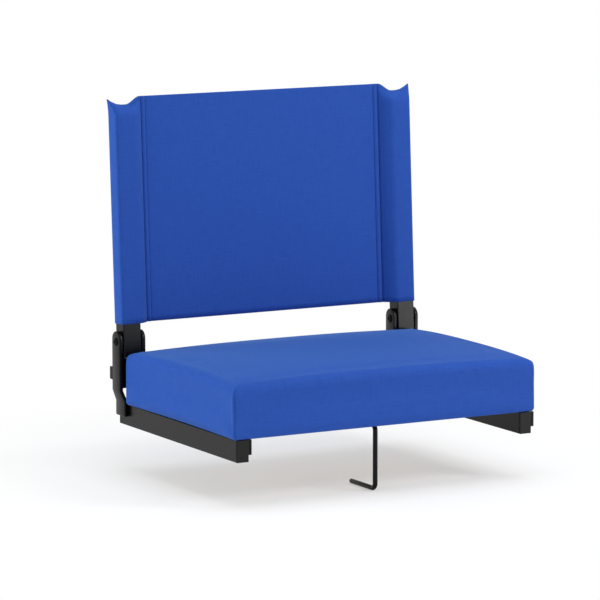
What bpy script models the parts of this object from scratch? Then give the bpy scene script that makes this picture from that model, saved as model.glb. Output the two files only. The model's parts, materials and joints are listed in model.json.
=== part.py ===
"""Folding stadium chair: a padded seat on rails, a fabric back on hinged uprights, and a bench hook.

Metres, +Z up. The chair faces -Y.
The origin lies on the bench top, midway between the rails and along them.
"""

import math

import bmesh
import bpy
from mathutils import Matrix, Vector

# Gap kept between pieces that rest on each other, and the play of a shaft in its hole
CLEARANCE = 0.0003

# Rails: two same-hand tubes along Y, each with a side fin below its top edge, set in from the seat's sides
RAIL_WIDTH = 0.0158
RAIL_HEIGHT = 0.0266
RAIL_WALL = 0.0015
RAIL_FIN_WIDTH = 0.0053
RAIL_FIN_HEIGHT = 0.0187
RAIL_INSET = 0.0127
RAIL_EDGE = 0.0006
RAIL_CAP = 0.002
RAIL_CAP_STEM = 0.012

# Uprights: rectangular tubes that carry the back, hinged between two plates each
UPRIGHT_WIDTH = 0.0242
UPRIGHT_DEPTH = 0.0214
UPRIGHT_WALL = 0.0015
UPRIGHT_INSET = 0.0129
UPRIGHT_TAIL_ROOM = 0.0113
UPRIGHT_REACH = 0.277
UPRIGHT_EDGE = 0.001
UPRIGHT_CAP = 0.003
UPRIGHT_CAP_STEM = 0.014
RECLINE = math.radians(3.25)

# Hinge plates: flat bars with a round head, joggled sideways onto the rail
PLATE_THICKNESS = 0.005
PLATE_WIDTH = 0.021
PLATE_HEAD_ROOM = 0.0027
PLATE_GAP = 0.0012
PLATE_FOOT = 0.0115
PLATE_FOOT_EXTRA = 0.0035
JOGGLE_LOW = 0.030
JOGGLE_HIGH = 0.044
PLATE_EDGE = 0.0006

# Pivot rivets, bushes, washers and the bars that stop the back's recline
PIVOT_ABOVE_SEAT = 0.0129
PIVOT_RADIUS = 0.003
PIVOT_HEAD_RADIUS = 0.0052
PIVOT_HEAD_RIM = 0.0006
PIVOT_HEAD_DOME = 0.0016
BUSH_WALL = 0.0012
WASHER_RADIUS = 0.007
STOP_DEPTH = 0.005

# Rear cross bar: a flat bar on the plates' rear edges
CROSS_BAR_HEIGHT = 0.016
CROSS_BAR_DEPTH = 0.0065
CROSS_BAR_LEVEL = 0.064

# Back sling: a flat panel between two pockets that slip over the uprights
SLING_BOTTOM = 0.022
SLING_PANEL = 0.0024
SLING_PANEL_SETBACK = 0.002
SLING_WALL = 0.0012
SLING_SLACK = 0.0004
SLING_CORNER = 0.003
SEAM_FROM_UPRIGHT = 0.017
POCKET_HEADROOM = 0.0008
POCKET_RISE = 0.0226
POCKET_FLARE = 0.005
POCKET_TOP_THICKNESS = 0.0028
SCOOP_DEPTH = 0.0098
SCOOP_START = 0.04
SCOOP_WIDTH = 0.42
EAR_RISE = 0.0077
EAR_WIDTH = 0.4

# Seat: board, foam and a cover that wraps the foam and turns in under the board
SEAT_WIDTH = 0.4212
SEAT_DEPTH = 0.287
SEAT_FRONT_OVERHANG = 0.0013
SEAT_REAR_GAP = 0.0008
SEAT_SIDE_HEIGHT = 0.0652
SEAT_CROWN_ACROSS = 0.0047
SEAT_CROWN_DEEP = 0.0053
SEAT_CROWN_POWER = 2.5
SEAT_CORNER = 0.003
SEAT_CORNER_LEAST = 0.0014
SEAT_TOP_RADIUS = 0.0107
SEAT_BOTTOM_RADIUS = 0.005
SEAT_SIDE_DRAW_IN = 0.003
SEAT_END_DRAW_IN = 0.0005
COVER_WALL = 0.0014
COVER_TURN_IN = 0.028
BOARD_THICKNESS = 0.009
BOARD_GAP = 0.0006
BOARD_CORNER = 0.012

# Screws that hold the rails and the hook's saddles to the board
RAIL_SCREW_FROM_END = 0.062
RAIL_SCREW_RADIUS = 0.002
RAIL_SCREW_HEAD_RADIUS = 0.004
RAIL_SCREW_HEAD_HEIGHT = 0.0025
RAIL_SCREW_BITE = 0.007
SADDLE_SCREW_RADIUS = 0.0016
SADDLE_SCREW_HEAD_RADIUS = 0.003
SADDLE_SCREW_HEAD_HEIGHT = 0.0018
SADDLE_SCREW_BITE = 0.006

# Bench hook: a bent rod that turns in two saddles under the board
HOOK_RADIUS = 0.003
HOOK_BEND = 0.007
HOOK_FROM_FRONT = 0.0286
HOOK_PLANK_GAP = 0.0523
HOOK_FOOT = 0.06
SADDLE_WALL = 0.0015
SADDLE_LENGTH = 0.012
SADDLE_SCREW_GAP = 0.002
SADDLE_MARGIN = 0.0017
SADDLE_FRONT = 0.022
SADDLE_SPACING = 0.03
COLLAR_WALL = 0.0014
COLLAR_LENGTH = 0.005
COLLAR_GAP = 0.0075
COLLAR_FROM_END = 0.0015

# Facets of round pieces and of the soft forms
ROUND_STEPS = 16
ARC_STEPS = 8
DOME_STEPS = 3
CORNER_STEPS = 3
POCKET_SLOPE_STEPS = 3
POCKET_FACE_STEPS = 5
POCKET_CLOSING_STEPS = 4
SEAT_LONG_STEPS = 8
SEAT_SHORT_STEPS = 6
SEAT_CORNER_STEPS = 2
SEAT_EDGE_STEPS = 4
SEAT_TOP_RINGS = (0.25, 0.5, 0.75, 0.97)
BEVEL_STEPS = 2
BEVEL_ANGLE = math.radians(40)
SHARP_ANGLE = math.radians(35)
MERGE_DISTANCE = 0.00001

# Places worked out from the sizes above
# The rails run from under the seat's front to the plates' rear edges, and the folded back clears the seat
PLATE_FOOT_WIDTH = PLATE_WIDTH + PLATE_FOOT_EXTRA
RAIL_LENGTH = SEAT_DEPTH - SEAT_FRONT_OVERHANG + SEAT_REAR_GAP + PLATE_FOOT_WIDTH
REAR_Y = RAIL_LENGTH / 2
PIVOT_Y = REAR_Y - PLATE_WIDTH / 2
SEAT_FRONT_Y = -RAIL_LENGTH / 2 - SEAT_FRONT_OVERHANG
SEAT_MIDDLE_Y = SEAT_FRONT_Y + SEAT_DEPTH / 2
SEAT_BOTTOM = RAIL_HEIGHT + CLEARANCE
BOARD_BOTTOM = SEAT_BOTTOM + COVER_WALL + CLEARANCE
BOARD_TOP = BOARD_BOTTOM + BOARD_THICKNESS
PIVOT_HEIGHT = SEAT_BOTTOM + SEAT_SIDE_HEIGHT + PIVOT_ABOVE_SEAT
UPRIGHT_TAIL = UPRIGHT_DEPTH / 2 + UPRIGHT_TAIL_ROOM
UPRIGHT_X = SEAT_WIDTH / 2 - UPRIGHT_INSET
RAIL_X = SEAT_WIDTH / 2 - RAIL_INSET
PLATE_NEAR = UPRIGHT_WIDTH / 2 + PLATE_GAP
PLATE_FAR = PLATE_NEAR + PLATE_THICKNESS
BUSH_RADIUS = PIVOT_RADIUS + CLEARANCE + BUSH_WALL
SADDLE_INNER = HOOK_RADIUS + CLEARANCE
SADDLE_OUTER = SADDLE_INNER + SADDLE_WALL
SADDLE_SCREW_OUT = SADDLE_OUTER + SADDLE_SCREW_GAP + SADDLE_SCREW_HEAD_RADIUS
SADDLE_FLANGE = SADDLE_SCREW_OUT + SADDLE_SCREW_HEAD_RADIUS + SADDLE_MARGIN
SADDLE_REAR = SADDLE_FRONT + SADDLE_SPACING
SADDLE_TOP = BOARD_BOTTOM - CLEARANCE
HOOK_AXIS_Z = SADDLE_TOP - SADDLE_WALL - HOOK_RADIUS - CLEARANCE
HOOK_SHANK_Y = -RAIL_LENGTH / 2 + HOOK_FROM_FRONT
COLLAR_START = SADDLE_REAR + SADDLE_LENGTH / 2 + COLLAR_GAP
HOOK_TAIL = COLLAR_START + COLLAR_LENGTH + COLLAR_FROM_END

SIDES = {"left": -1, "right": 1}


def clear_scene():
    for thing in list(bpy.data.objects):
        bpy.data.objects.remove(thing, do_unlink=True)


def collection(name):
    group = bpy.data.collections.new(name)
    bpy.context.scene.collection.children.link(group)
    return group


def linear(hex_colour):
    """Linear RGBA of an sRGB hex colour."""
    channels = [int(hex_colour[i : i + 2], 16) / 255 for i in (0, 2, 4)]
    return [c / 12.92 if c <= 0.04045 else ((c + 0.055) / 1.055) ** 2.4 for c in channels] + [1.0]


def material(name, hex_colour, roughness, metallic=0.0):
    made = bpy.data.materials.new(name)
    made.use_nodes = True
    shader = made.node_tree.nodes["Principled BSDF"]
    shader.inputs["Base Color"].default_value = linear(hex_colour)
    shader.inputs["Roughness"].default_value = roughness
    shader.inputs["Metallic"].default_value = metallic
    return made


def empty(name, location, turn=0.0):
    """An empty on a joint's axis, turned about X."""
    marker = bpy.data.objects.new(name, None)
    marker.matrix_world = Matrix.Translation(location) @ Matrix.Rotation(turn, 4, "X")
    PARTS.objects.link(marker)
    return marker


def piece(name, mesh, finish, parent=None, place=None):
    """A named object from a bmesh or a mesh, in its parent's frame."""
    if isinstance(mesh, bmesh.types.BMesh):
        data = bpy.data.meshes.new(name)
        mesh.to_mesh(data)
        mesh.free()
        mesh = data
    thing = bpy.data.objects.new(name, mesh)
    thing.data.materials.append(finish)
    PARTS.objects.link(thing)
    thing.parent = parent
    thing.matrix_basis = place if place is not None else Matrix()
    return thing


def swept(outline, axis, low, high):
    """Closed prism of a flat outline along an axis. Its pairs follow X, Y, Z order without that axis."""
    bm = bmesh.new()
    corners = []
    for pair in outline:
        point = list(pair)
        point.insert(axis, low)
        corners.append(bm.verts.new(point))
    grown = bmesh.ops.extrude_face_region(bm, geom=[bm.faces.new(corners)])
    step = Vector((0, 0, 0))
    step[axis] = high - low
    moved = [part for part in grown["geom"] if isinstance(part, bmesh.types.BMVert)]
    bmesh.ops.translate(bm, verts=moved, vec=step)
    bmesh.ops.recalc_face_normals(bm, faces=bm.faces)
    return bm


def loft(rings):
    """Closed body through rings of equal point counts, capped by the first and the last."""
    bm = bmesh.new()
    order = bm.verts.layers.int.new("order")
    for index, point in enumerate(rings[0]):
        bm.verts.new(point)[order] = index
    base = face = bm.faces.new(bm.verts)
    for ring in rings[1:]:
        below = face
        grown = bmesh.ops.extrude_face_region(bm, geom=[below])
        face = next(part for part in grown["geom"] if isinstance(part, bmesh.types.BMFace))
        for vert in face.verts:
            vert.co = ring[vert[order]]
        if below is not base:
            bm.faces.remove(below)
    bmesh.ops.recalc_face_normals(bm, faces=bm.faces)
    return bm


def block(low, high):
    """Box between two corners."""
    bm = bmesh.new()
    size = Vector(high) - Vector(low)
    centre = Matrix.Translation((Vector(high) + Vector(low)) / 2)
    bmesh.ops.create_cube(bm, size=1, matrix=centre @ Matrix.Diagonal((*size, 1)))
    return bm


def along(axis, centre):
    """Matrix that lays a Z-axis shape along X, Y or Z at a centre."""
    turn = {0: Matrix.Rotation(math.pi / 2, 4, "Y"), 1: Matrix.Rotation(-math.pi / 2, 4, "X"), 2: Matrix()}
    return Matrix.Translation(centre) @ turn[axis]


def rod(radius, length, axis, centre):
    """Closed cylinder along an axis."""
    bm = bmesh.new()
    bmesh.ops.create_cone(
        bm, cap_ends=True, segments=ROUND_STEPS, radius1=radius, radius2=radius, depth=length,
        matrix=along(axis, centre),
    )
    return bm


def turned(name, profile, finish, parent=None, place=None, closed=False):
    """Round piece spun about Z from (radius, height) pairs that run down its outer side."""
    bm = bmesh.new()
    points = [bm.verts.new((radius, 0, height)) for radius, height in profile]
    for first, second in zip(points, points[1:] + points[:1] if closed else points[1:]):
        bm.edges.new((first, second))
    thing = piece(name, bm, finish, parent, place)
    screw = thing.modifiers.new("turn", "SCREW")
    screw.axis = "Z"
    screw.steps = screw.render_steps = ROUND_STEPS
    screw.use_merge_vertices = True
    screw.merge_threshold = MERGE_DISTANCE
    return thing


def ring(name, inner, outer, length, finish, parent=None, place=None):
    """Washer, bush or collar centred on its place."""
    half = length / 2
    profile = [(inner, half), (outer, half), (outer, -half), (inner, -half)]
    return turned(name, profile, finish, parent, place, closed=True)


def soften(thing, width):
    """Small rounded edges, made before any hole is cut."""
    bevel = thing.modifiers.new("edges", "BEVEL")
    bevel.width = width
    bevel.segments = BEVEL_STEPS
    bevel.limit_method = "ANGLE"
    bevel.angle_limit = BEVEL_ANGLE
    return thing


def cut(thing, shape, parent=None):
    """Takes a closed shape out of a piece."""
    data = bpy.data.meshes.new(thing.name + "_cut")
    shape.to_mesh(data)
    shape.free()
    cutter = bpy.data.objects.new(data.name, data)
    CUTTERS.objects.link(cutter)
    cutter.parent = parent
    cutter.hide_render = True
    cutter.display_type = "WIRE"
    hole = thing.modifiers.new("cut", "BOOLEAN")
    hole.operation = "DIFFERENCE"
    hole.object = cutter
    return thing


def arc(centre, radius, start, end, steps=ARC_STEPS):
    """Points on an arc, angles in degrees."""
    turns = [math.radians(start + (end - start) * i / steps) for i in range(steps + 1)]
    return [(centre[0] + radius * math.cos(t), centre[1] + radius * math.sin(t)) for t in turns]


def line(start, end, steps):
    """Points from start towards end, leaving out the end."""
    return [tuple(a + (b - a) * i / steps for a, b in zip(start, end)) for i in range(steps)]


def dome(radius, rim, height):
    """Profile of a round head, from its crown down to its rim, as (radius, height) pairs."""
    turns = [math.pi / 2 * i / DOME_STEPS for i in range(DOME_STEPS + 1)]
    return [(radius * math.sin(t), rim + height * math.cos(t)) for t in turns]


def capped(name, width, depth, head, wall, stem, finish, parent=None, place=None):
    """Push-in end cap: a head as large as the tube's end, and a stem down -Z inside its walls."""
    bm = block((-width / 2, -depth / 2, 0), (width / 2, depth / 2, head))
    bm.faces.ensure_lookup_table()
    low = min(bm.faces, key=lambda face: face.calc_center_median().z)
    bmesh.ops.inset_individual(bm, faces=[low], thickness=wall + CLEARANCE, use_even_offset=True)
    grown = bmesh.ops.extrude_face_region(bm, geom=[low])
    moved = [part for part in grown["geom"] if isinstance(part, bmesh.types.BMVert)]
    bmesh.ops.translate(bm, verts=moved, vec=(0, 0, -stem))
    bm.faces.remove(low)
    bmesh.ops.recalc_face_normals(bm, faces=bm.faces)
    return piece(name, bm, finish, parent, place)


def screw_piece(name, radius, head_radius, head_height, length, finish, place):
    """Pan-head screw, its head's seat at the origin and its shank up +Z."""
    profile = [(0, length), (radius, length - radius), (radius, 0), (head_radius, 0)]
    profile += dome(head_radius, -head_height / 2, -head_height / 2)[::-1]
    return turned(name, profile, finish, place=place)


def rail_screw_places():
    """Y of each rail's screws."""
    reach = RAIL_LENGTH / 2 - RAIL_SCREW_FROM_END
    return {"front": -reach, "rear": reach}


def rails():
    """Rail tubes with their side fins, end caps, and the screws that hold them to the board."""
    half = RAIL_WIDTH / 2
    fin_low = RAIL_HEIGHT - RAIL_FIN_HEIGHT
    outline = [
        (-half, 0), (half, 0), (half, fin_low), (half + RAIL_FIN_WIDTH, fin_low),
        (half + RAIL_FIN_WIDTH, RAIL_HEIGHT), (-half, RAIL_HEIGHT),
    ]
    end = RAIL_LENGTH / 2 - RAIL_CAP - CLEARANCE
    for side, sign in SIDES.items():
        x = sign * RAIL_X
        rail = piece(f"{side}_rail", swept([(x + u, v) for u, v in outline], 1, -end, end), BLACK_STEEL)
        soften(rail, RAIL_EDGE)
        bore_low = (x - half + RAIL_WALL, -RAIL_LENGTH, RAIL_WALL)
        bore_high = (x + half - RAIL_WALL, RAIL_LENGTH, RAIL_HEIGHT - RAIL_WALL)
        cut(rail, block(bore_low, bore_high))
        for where, y in rail_screw_places().items():
            access = RAIL_SCREW_HEAD_RADIUS + 2 * CLEARANCE
            cut(rail, rod(access, 2 * RAIL_WALL + RAIL_HEIGHT / 2, 2, (x, y, 0)))
            cut(rail, rod(RAIL_SCREW_RADIUS + CLEARANCE, 4 * RAIL_WALL, 2, (x, y, RAIL_HEIGHT)))
            seat = RAIL_HEIGHT - RAIL_WALL - CLEARANCE
            length = BOARD_BOTTOM - seat + RAIL_SCREW_BITE
            screw_piece(
                f"{side}_rail_{where}_screw", RAIL_SCREW_RADIUS, RAIL_SCREW_HEAD_RADIUS,
                RAIL_SCREW_HEAD_HEIGHT, length, ZINC, Matrix.Translation((x, y, seat)),
            )
        for where, y, turn in (("front", -end - CLEARANCE, 90), ("rear", end + CLEARANCE, -90)):
            facing = Matrix.Rotation(math.radians(turn), 4, "X")
            cap = capped(
                f"{side}_rail_{where}_cap", RAIL_WIDTH, RAIL_HEIGHT, RAIL_CAP, RAIL_WALL, RAIL_CAP_STEM,
                BLACK_PLASTIC, place=Matrix.Translation((x, y, RAIL_HEIGHT / 2)) @ facing,
            )
            soften(cap, RAIL_EDGE)


def rail_face(sign, way):
    """X of the rail's face on its +X or -X side: the fin is on the +X side."""
    return sign * RAIL_X + way * RAIL_WIDTH / 2 + (RAIL_FIN_WIDTH if way > 0 else 0)


def hinge_plate(name, sign, way):
    """Flat bar that stands clear of one side of an upright and steps over onto the rail's face."""
    front = REAR_Y - PLATE_WIDTH
    head = PIVOT_HEIGHT + PLATE_HEAD_ROOM
    foot_front = REAR_Y - PLATE_FOOT_WIDTH
    outline = [(REAR_Y, PLATE_FOOT), *arc((PIVOT_Y, head), PLATE_WIDTH / 2, 0, 180)]
    outline += [(front, JOGGLE_HIGH), (foot_front, JOGGLE_LOW), (foot_front, PLATE_FOOT)]
    near = sign * UPRIGHT_X + way * PLATE_NEAR
    bm = swept(outline, 0, near, near + way * PLATE_THICKNESS)
    for level in (JOGGLE_LOW, JOGGLE_HIGH):
        parts = [*bm.verts, *bm.edges, *bm.faces]
        bmesh.ops.bisect_plane(
            bm, geom=parts, dist=MERGE_DISTANCE, plane_co=(0, 0, level), plane_no=(0, 0, 1)
        )
    step = rail_face(sign, way) + way * CLEARANCE - near
    for vert in bm.verts:
        fall = (JOGGLE_HIGH - vert.co.z) / (JOGGLE_HIGH - JOGGLE_LOW)
        vert.co.x += step * min(max(fall, 0), 1)
    plate = soften(piece(name, bm, BLACK_STEEL), PLATE_EDGE)
    middle = (near + way * PLATE_THICKNESS / 2, PIVOT_Y, PIVOT_HEIGHT)
    return cut(plate, rod(PIVOT_RADIUS + CLEARANCE, 2 * PLATE_THICKNESS, 0, middle))


def hinges(back_pivot):
    """Plates, rivets, washers and stop bars of both hinges, and the bushes that turn with the back."""
    seat = PLATE_FAR + CLEARANCE
    head = dome(PIVOT_HEAD_RADIUS, seat + PIVOT_HEAD_RIM, PIVOT_HEAD_DOME)
    upper = head + [(PIVOT_HEAD_RADIUS, seat), (PIVOT_RADIUS, seat)]
    rivet = upper + [(radius, -height) for radius, height in reversed(upper)]
    heel = back_pivot.matrix_world @ Vector((0, UPRIGHT_DEPTH / 2, -UPRIGHT_TAIL))
    stop_reach = PLATE_NEAR - CLEARANCE
    for side, sign in SIDES.items():
        x = sign * UPRIGHT_X
        for where, way in (("outer", sign), ("inner", -sign)):
            hinge_plate(f"{side}_{where}_hinge_plate", sign, way)
            middle = x + way * (UPRIGHT_WIDTH + PLATE_GAP) / 2
            ring(
                f"{side}_{where}_washer", PIVOT_RADIUS + CLEARANCE, WASHER_RADIUS,
                PLATE_GAP - 2 * CLEARANCE, NYLON, place=along(0, (middle, PIVOT_Y, PIVOT_HEIGHT)),
            )
        turned(f"{side}_pivot_rivet", rivet, BLACK_STEEL, place=along(0, (x, PIVOT_Y, PIVOT_HEIGHT)))
        stop_low = (x - stop_reach, REAR_Y - STOP_DEPTH, JOGGLE_HIGH + CLEARANCE)
        stop_high = (x + stop_reach, REAR_Y, heel.z - CLEARANCE)
        soften(piece(f"{side}_stop_bar", block(stop_low, stop_high), BLACK_STEEL), PLATE_EDGE)
        ring(
            f"{side}_pivot_bush", PIVOT_RADIUS + CLEARANCE, BUSH_RADIUS, UPRIGHT_WIDTH, NYLON,
            back_pivot, along(0, (x, 0, 0)),
        )


def cross_bar():
    """Flat bar across the rear edges of all four plates, level with their outer faces."""
    reach = UPRIGHT_X + PLATE_FAR
    low = (-reach, REAR_Y + CLEARANCE, CROSS_BAR_LEVEL - CROSS_BAR_HEIGHT / 2)
    high = (reach, REAR_Y + CLEARANCE + CROSS_BAR_DEPTH, CROSS_BAR_LEVEL + CROSS_BAR_HEIGHT / 2)
    soften(piece("rear_cross_bar", block(low, high), BLACK_STEEL), PLATE_EDGE)


def uprights(back_pivot):
    """Back tubes and their top caps. Each tail's front corner is round, to turn past its stop bar."""
    half = UPRIGHT_DEPTH / 2
    start = 270 - math.degrees(math.asin(half / UPRIGHT_TAIL))
    outline = [(half, UPRIGHT_REACH), (-half, UPRIGHT_REACH), *arc((0, 0), UPRIGHT_TAIL, start, 270)]
    outline.append((half, -UPRIGHT_TAIL))
    for side, sign in SIDES.items():
        x = sign * UPRIGHT_X
        wide = UPRIGHT_WIDTH / 2
        tube = piece(f"{side}_upright", swept(outline, 0, x - wide, x + wide), BLACK_STEEL, back_pivot)
        soften(tube, UPRIGHT_EDGE)
        bore_low = (x - wide + UPRIGHT_WALL, -half + UPRIGHT_WALL, -2 * UPRIGHT_TAIL)
        bore_high = (x + wide - UPRIGHT_WALL, half - UPRIGHT_WALL, 2 * UPRIGHT_REACH)
        cut(tube, block(bore_low, bore_high), back_pivot)
        cut(tube, rod(BUSH_RADIUS + CLEARANCE, 2 * UPRIGHT_WIDTH, 0, (x, 0, 0)), back_pivot)
        cap = capped(
            f"{side}_upright_cap", UPRIGHT_WIDTH, UPRIGHT_DEPTH, UPRIGHT_CAP, UPRIGHT_WALL,
            UPRIGHT_CAP_STEM, BLACK_PLASTIC, back_pivot,
            Matrix.Translation((x, 0, UPRIGHT_REACH + CLEARANCE)),
        )
        soften(cap, UPRIGHT_EDGE)


def sling_outline():
    """Plan of the back: a panel, and at each end a pocket that slopes out from a seam round its tube."""
    skin = SLING_SLACK + SLING_WALL
    inner = UPRIGHT_X - UPRIGHT_WIDTH / 2 - skin
    outer = UPRIGHT_X + UPRIGHT_WIDTH / 2 + skin
    deep = UPRIGHT_DEPTH / 2 + skin
    seam = UPRIGHT_X - UPRIGHT_WIDTH / 2 - SEAM_FROM_UPRIGHT
    corner = SLING_CORNER
    panel_front = (seam, SLING_PANEL_SETBACK - SLING_PANEL / 2)
    panel_rear = (seam, SLING_PANEL_SETBACK + SLING_PANEL / 2)
    face = line((inner, deep), (outer - corner, deep), POCKET_FACE_STEPS)
    right = line(panel_front, (inner, -deep), POCKET_SLOPE_STEPS)
    right += [(x, -y) for x, y in face]
    right += arc((outer - corner, corner - deep), corner, -90, 0, CORNER_STEPS)
    right += arc((outer - corner, deep - corner), corner, 0, 90, CORNER_STEPS)
    right += face[:0:-1]
    right += line((inner, deep), panel_rear, POCKET_SLOPE_STEPS) + [panel_rear]
    left = [(-x, y) for x, y in reversed(right)]
    return right + left, seam, outer


def pocket_top():
    """Height at which the pockets start to close over the uprights' caps."""
    return UPRIGHT_REACH + 2 * CLEARANCE + UPRIGHT_CAP + POCKET_HEADROOM


def scoop(out):
    """Dip of a pocket's sewn edge at a share of the way out: it falls off from the seam, and the ear rises."""
    fall = min(max((out - SCOOP_START) / SCOOP_WIDTH, 0), 1)
    ear = max(1 - (1 - out) / EAR_WIDTH, 0)
    return SCOOP_DEPTH * fall**2 * (3 - 2 * fall) - EAR_RISE * ear**2


def sling(back_pivot):
    """Back fabric as one body. Its pockets close to a sewn edge that dips between seam and outer ear."""
    outline, seam, outer = sling_outline()
    closing = pocket_top()

    def ring_at(height, closed):
        """Outline at a height, closed from 0 (round the tube) to 1 (sewn flat)."""
        points = []
        for x, y in outline:
            out = max(abs(x) - seam, 0) / (outer - seam)
            depth = abs(y - SLING_PANEL_SETBACK)
            sewn = SLING_PANEL / 2 + (POCKET_TOP_THICKNESS - SLING_PANEL) / 2 * out
            depth += (min(sewn, depth) - depth) * closed
            dip = scoop(out)
            wide = x + math.copysign(POCKET_FLARE * out * closed, x)
            deep = SLING_PANEL_SETBACK + math.copysign(depth, y - SLING_PANEL_SETBACK)
            points.append((wide, deep, height - dip * closed))
        return points

    rings = [ring_at(SLING_BOTTOM, 0), ring_at(closing, 0)]
    for i in range(POCKET_CLOSING_STEPS):
        share = (i + 1) / POCKET_CLOSING_STEPS
        rings.append(ring_at(closing + POCKET_RISE * share, share))
    fabric = piece("back_sling", loft(rings), BLUE_CLOTH, back_pivot)
    for sign in SIDES.values():
        wide = UPRIGHT_WIDTH / 2 + SLING_SLACK
        deep = UPRIGHT_DEPTH / 2 + SLING_SLACK
        x = sign * UPRIGHT_X
        cut(fabric, block((x - wide, -deep, 0), (x + wide, deep, closing - CLEARANCE)), back_pivot)


def seat_ring(offset, inset, height, crowned):
    """Plan ring of the seat, inset from its widest outline, drawn in along each side."""
    half_width = SEAT_WIDTH / 2 - offset - inset
    half_depth = SEAT_DEPTH / 2 - offset - inset
    corner = max(SEAT_CORNER - offset - inset, SEAT_CORNER_LEAST)
    points = []
    for turn in (270, 0, 90, 180):
        across = turn in (90, 270)
        steps = SEAT_LONG_STEPS if across else SEAT_SHORT_STEPS
        run = (half_width if across else half_depth) - corner
        reach = half_depth if across else half_width
        drawn = SEAT_END_DRAW_IN if across else SEAT_SIDE_DRAW_IN
        facing = Matrix.Rotation(math.radians(turn), 2)
        for i in range(steps):
            t = 2 * i / steps - 1
            out = reach - drawn * (1 - t * t)
            points.append(facing @ Vector((out, t * run)))
        for i in range(SEAT_CORNER_STEPS):
            angle = math.pi / 2 * i / SEAT_CORNER_STEPS
            point = Vector((reach - corner + corner * math.cos(angle), run + corner * math.sin(angle)))
            points.append(facing @ point)
    return [(p.x, p.y + SEAT_MIDDLE_Y, height + crowned * crown(p.x, p.y)) for p in points]


def crown(x, y):
    """Rise of the seat's top over its corners, domed from side to side and from front to rear."""
    across = abs(2 * x / SEAT_WIDTH) ** SEAT_CROWN_POWER
    deep = abs(2 * y / SEAT_DEPTH) ** SEAT_CROWN_POWER
    return SEAT_CROWN_ACROSS * (1 - across) + SEAT_CROWN_DEEP * (1 - deep)


def seat_form(offset, bottom):
    """Crowned, round-edged seat shape that lies a set offset inside the cover's outer face."""
    top = SEAT_BOTTOM + SEAT_SIDE_HEIGHT - offset
    turns = [math.pi / 2 * i / SEAT_EDGE_STEPS for i in range(SEAT_EDGE_STEPS + 1)]
    rings = []
    for turn in turns:
        inset = SEAT_BOTTOM_RADIUS * (1 - math.sin(turn))
        height = bottom + SEAT_BOTTOM_RADIUS * (1 - math.cos(turn))
        rings.append(seat_ring(offset, inset, height, False))
    for turn in turns:
        height = top - SEAT_TOP_RADIUS * (1 - math.sin(turn))
        rings.append(seat_ring(offset, SEAT_TOP_RADIUS * (1 - math.cos(turn)), height, True))
    inner_most = SEAT_DEPTH / 2 - offset - SEAT_CORNER
    for share in SEAT_TOP_RINGS:
        rings.append(seat_ring(offset, inner_most * share, top, True))
    return loft(rings)


def seat():
    """Plywood board, foam block and fabric cover. The cover is open below, inside its turned-in edge."""
    cover = piece("seat_cover", seat_form(0, SEAT_BOTTOM), BLUE_CLOTH)
    cut(cover, seat_form(COVER_WALL, SEAT_BOTTOM + COVER_WALL))
    half_width = SEAT_WIDTH / 2 - COVER_TURN_IN
    half_depth = SEAT_DEPTH / 2 - COVER_TURN_IN
    mouth_low = (-half_width, SEAT_MIDDLE_Y - half_depth, 0)
    mouth_high = (half_width, SEAT_MIDDLE_Y + half_depth, BOARD_TOP)
    cut(cover, block(mouth_low, mouth_high))
    piece("seat_foam", seat_form(COVER_WALL + CLEARANCE, BOARD_TOP + CLEARANCE), FOAM)
    level = SEAT_BOTTOM_RADIUS - (BOARD_BOTTOM - SEAT_BOTTOM - COVER_WALL)
    margin = COVER_WALL + SEAT_BOTTOM_RADIUS - math.sqrt(SEAT_BOTTOM_RADIUS**2 - level**2) + BOARD_GAP
    wide = SEAT_WIDTH / 2 - SEAT_SIDE_DRAW_IN - margin - BOARD_CORNER
    deep = SEAT_DEPTH / 2 - SEAT_END_DRAW_IN - margin - BOARD_CORNER
    outline = []
    for start, x, y in ((0, wide, deep), (90, -wide, deep), (180, -wide, -deep), (270, wide, -deep)):
        outline += arc((x, SEAT_MIDDLE_Y + y), BOARD_CORNER, start, start + 90, 4)
    board = piece("seat_board", swept(outline, 2, BOARD_BOTTOM, BOARD_TOP), PLYWOOD)
    for sign in SIDES.values():
        for y in rail_screw_places().values():
            pilot = RAIL_SCREW_BITE + CLEARANCE
            cut(board, rod(RAIL_SCREW_RADIUS + CLEARANCE, 2 * pilot, 2, (sign * RAIL_X, y, BOARD_BOTTOM)))
            lip = RAIL_SCREW_RADIUS + 2 * CLEARANCE
            cut(cover, rod(lip, 6 * COVER_WALL, 2, (sign * RAIL_X, y, SEAT_BOTTOM)))
    for x, y in saddle_screw_places():
        pilot = SADDLE_SCREW_BITE + CLEARANCE
        cut(board, rod(SADDLE_SCREW_RADIUS + CLEARANCE, 2 * pilot, 2, (x, y, BOARD_BOTTOM)))


def saddle_places():
    """Y of the middle of each saddle, behind the hook's shank."""
    return {"front": HOOK_SHANK_Y + SADDLE_FRONT, "rear": HOOK_SHANK_Y + SADDLE_REAR}


def saddle_screw_places():
    return [(sign * SADDLE_SCREW_OUT, y) for y in saddle_places().values() for sign in SIDES.values()]


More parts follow.
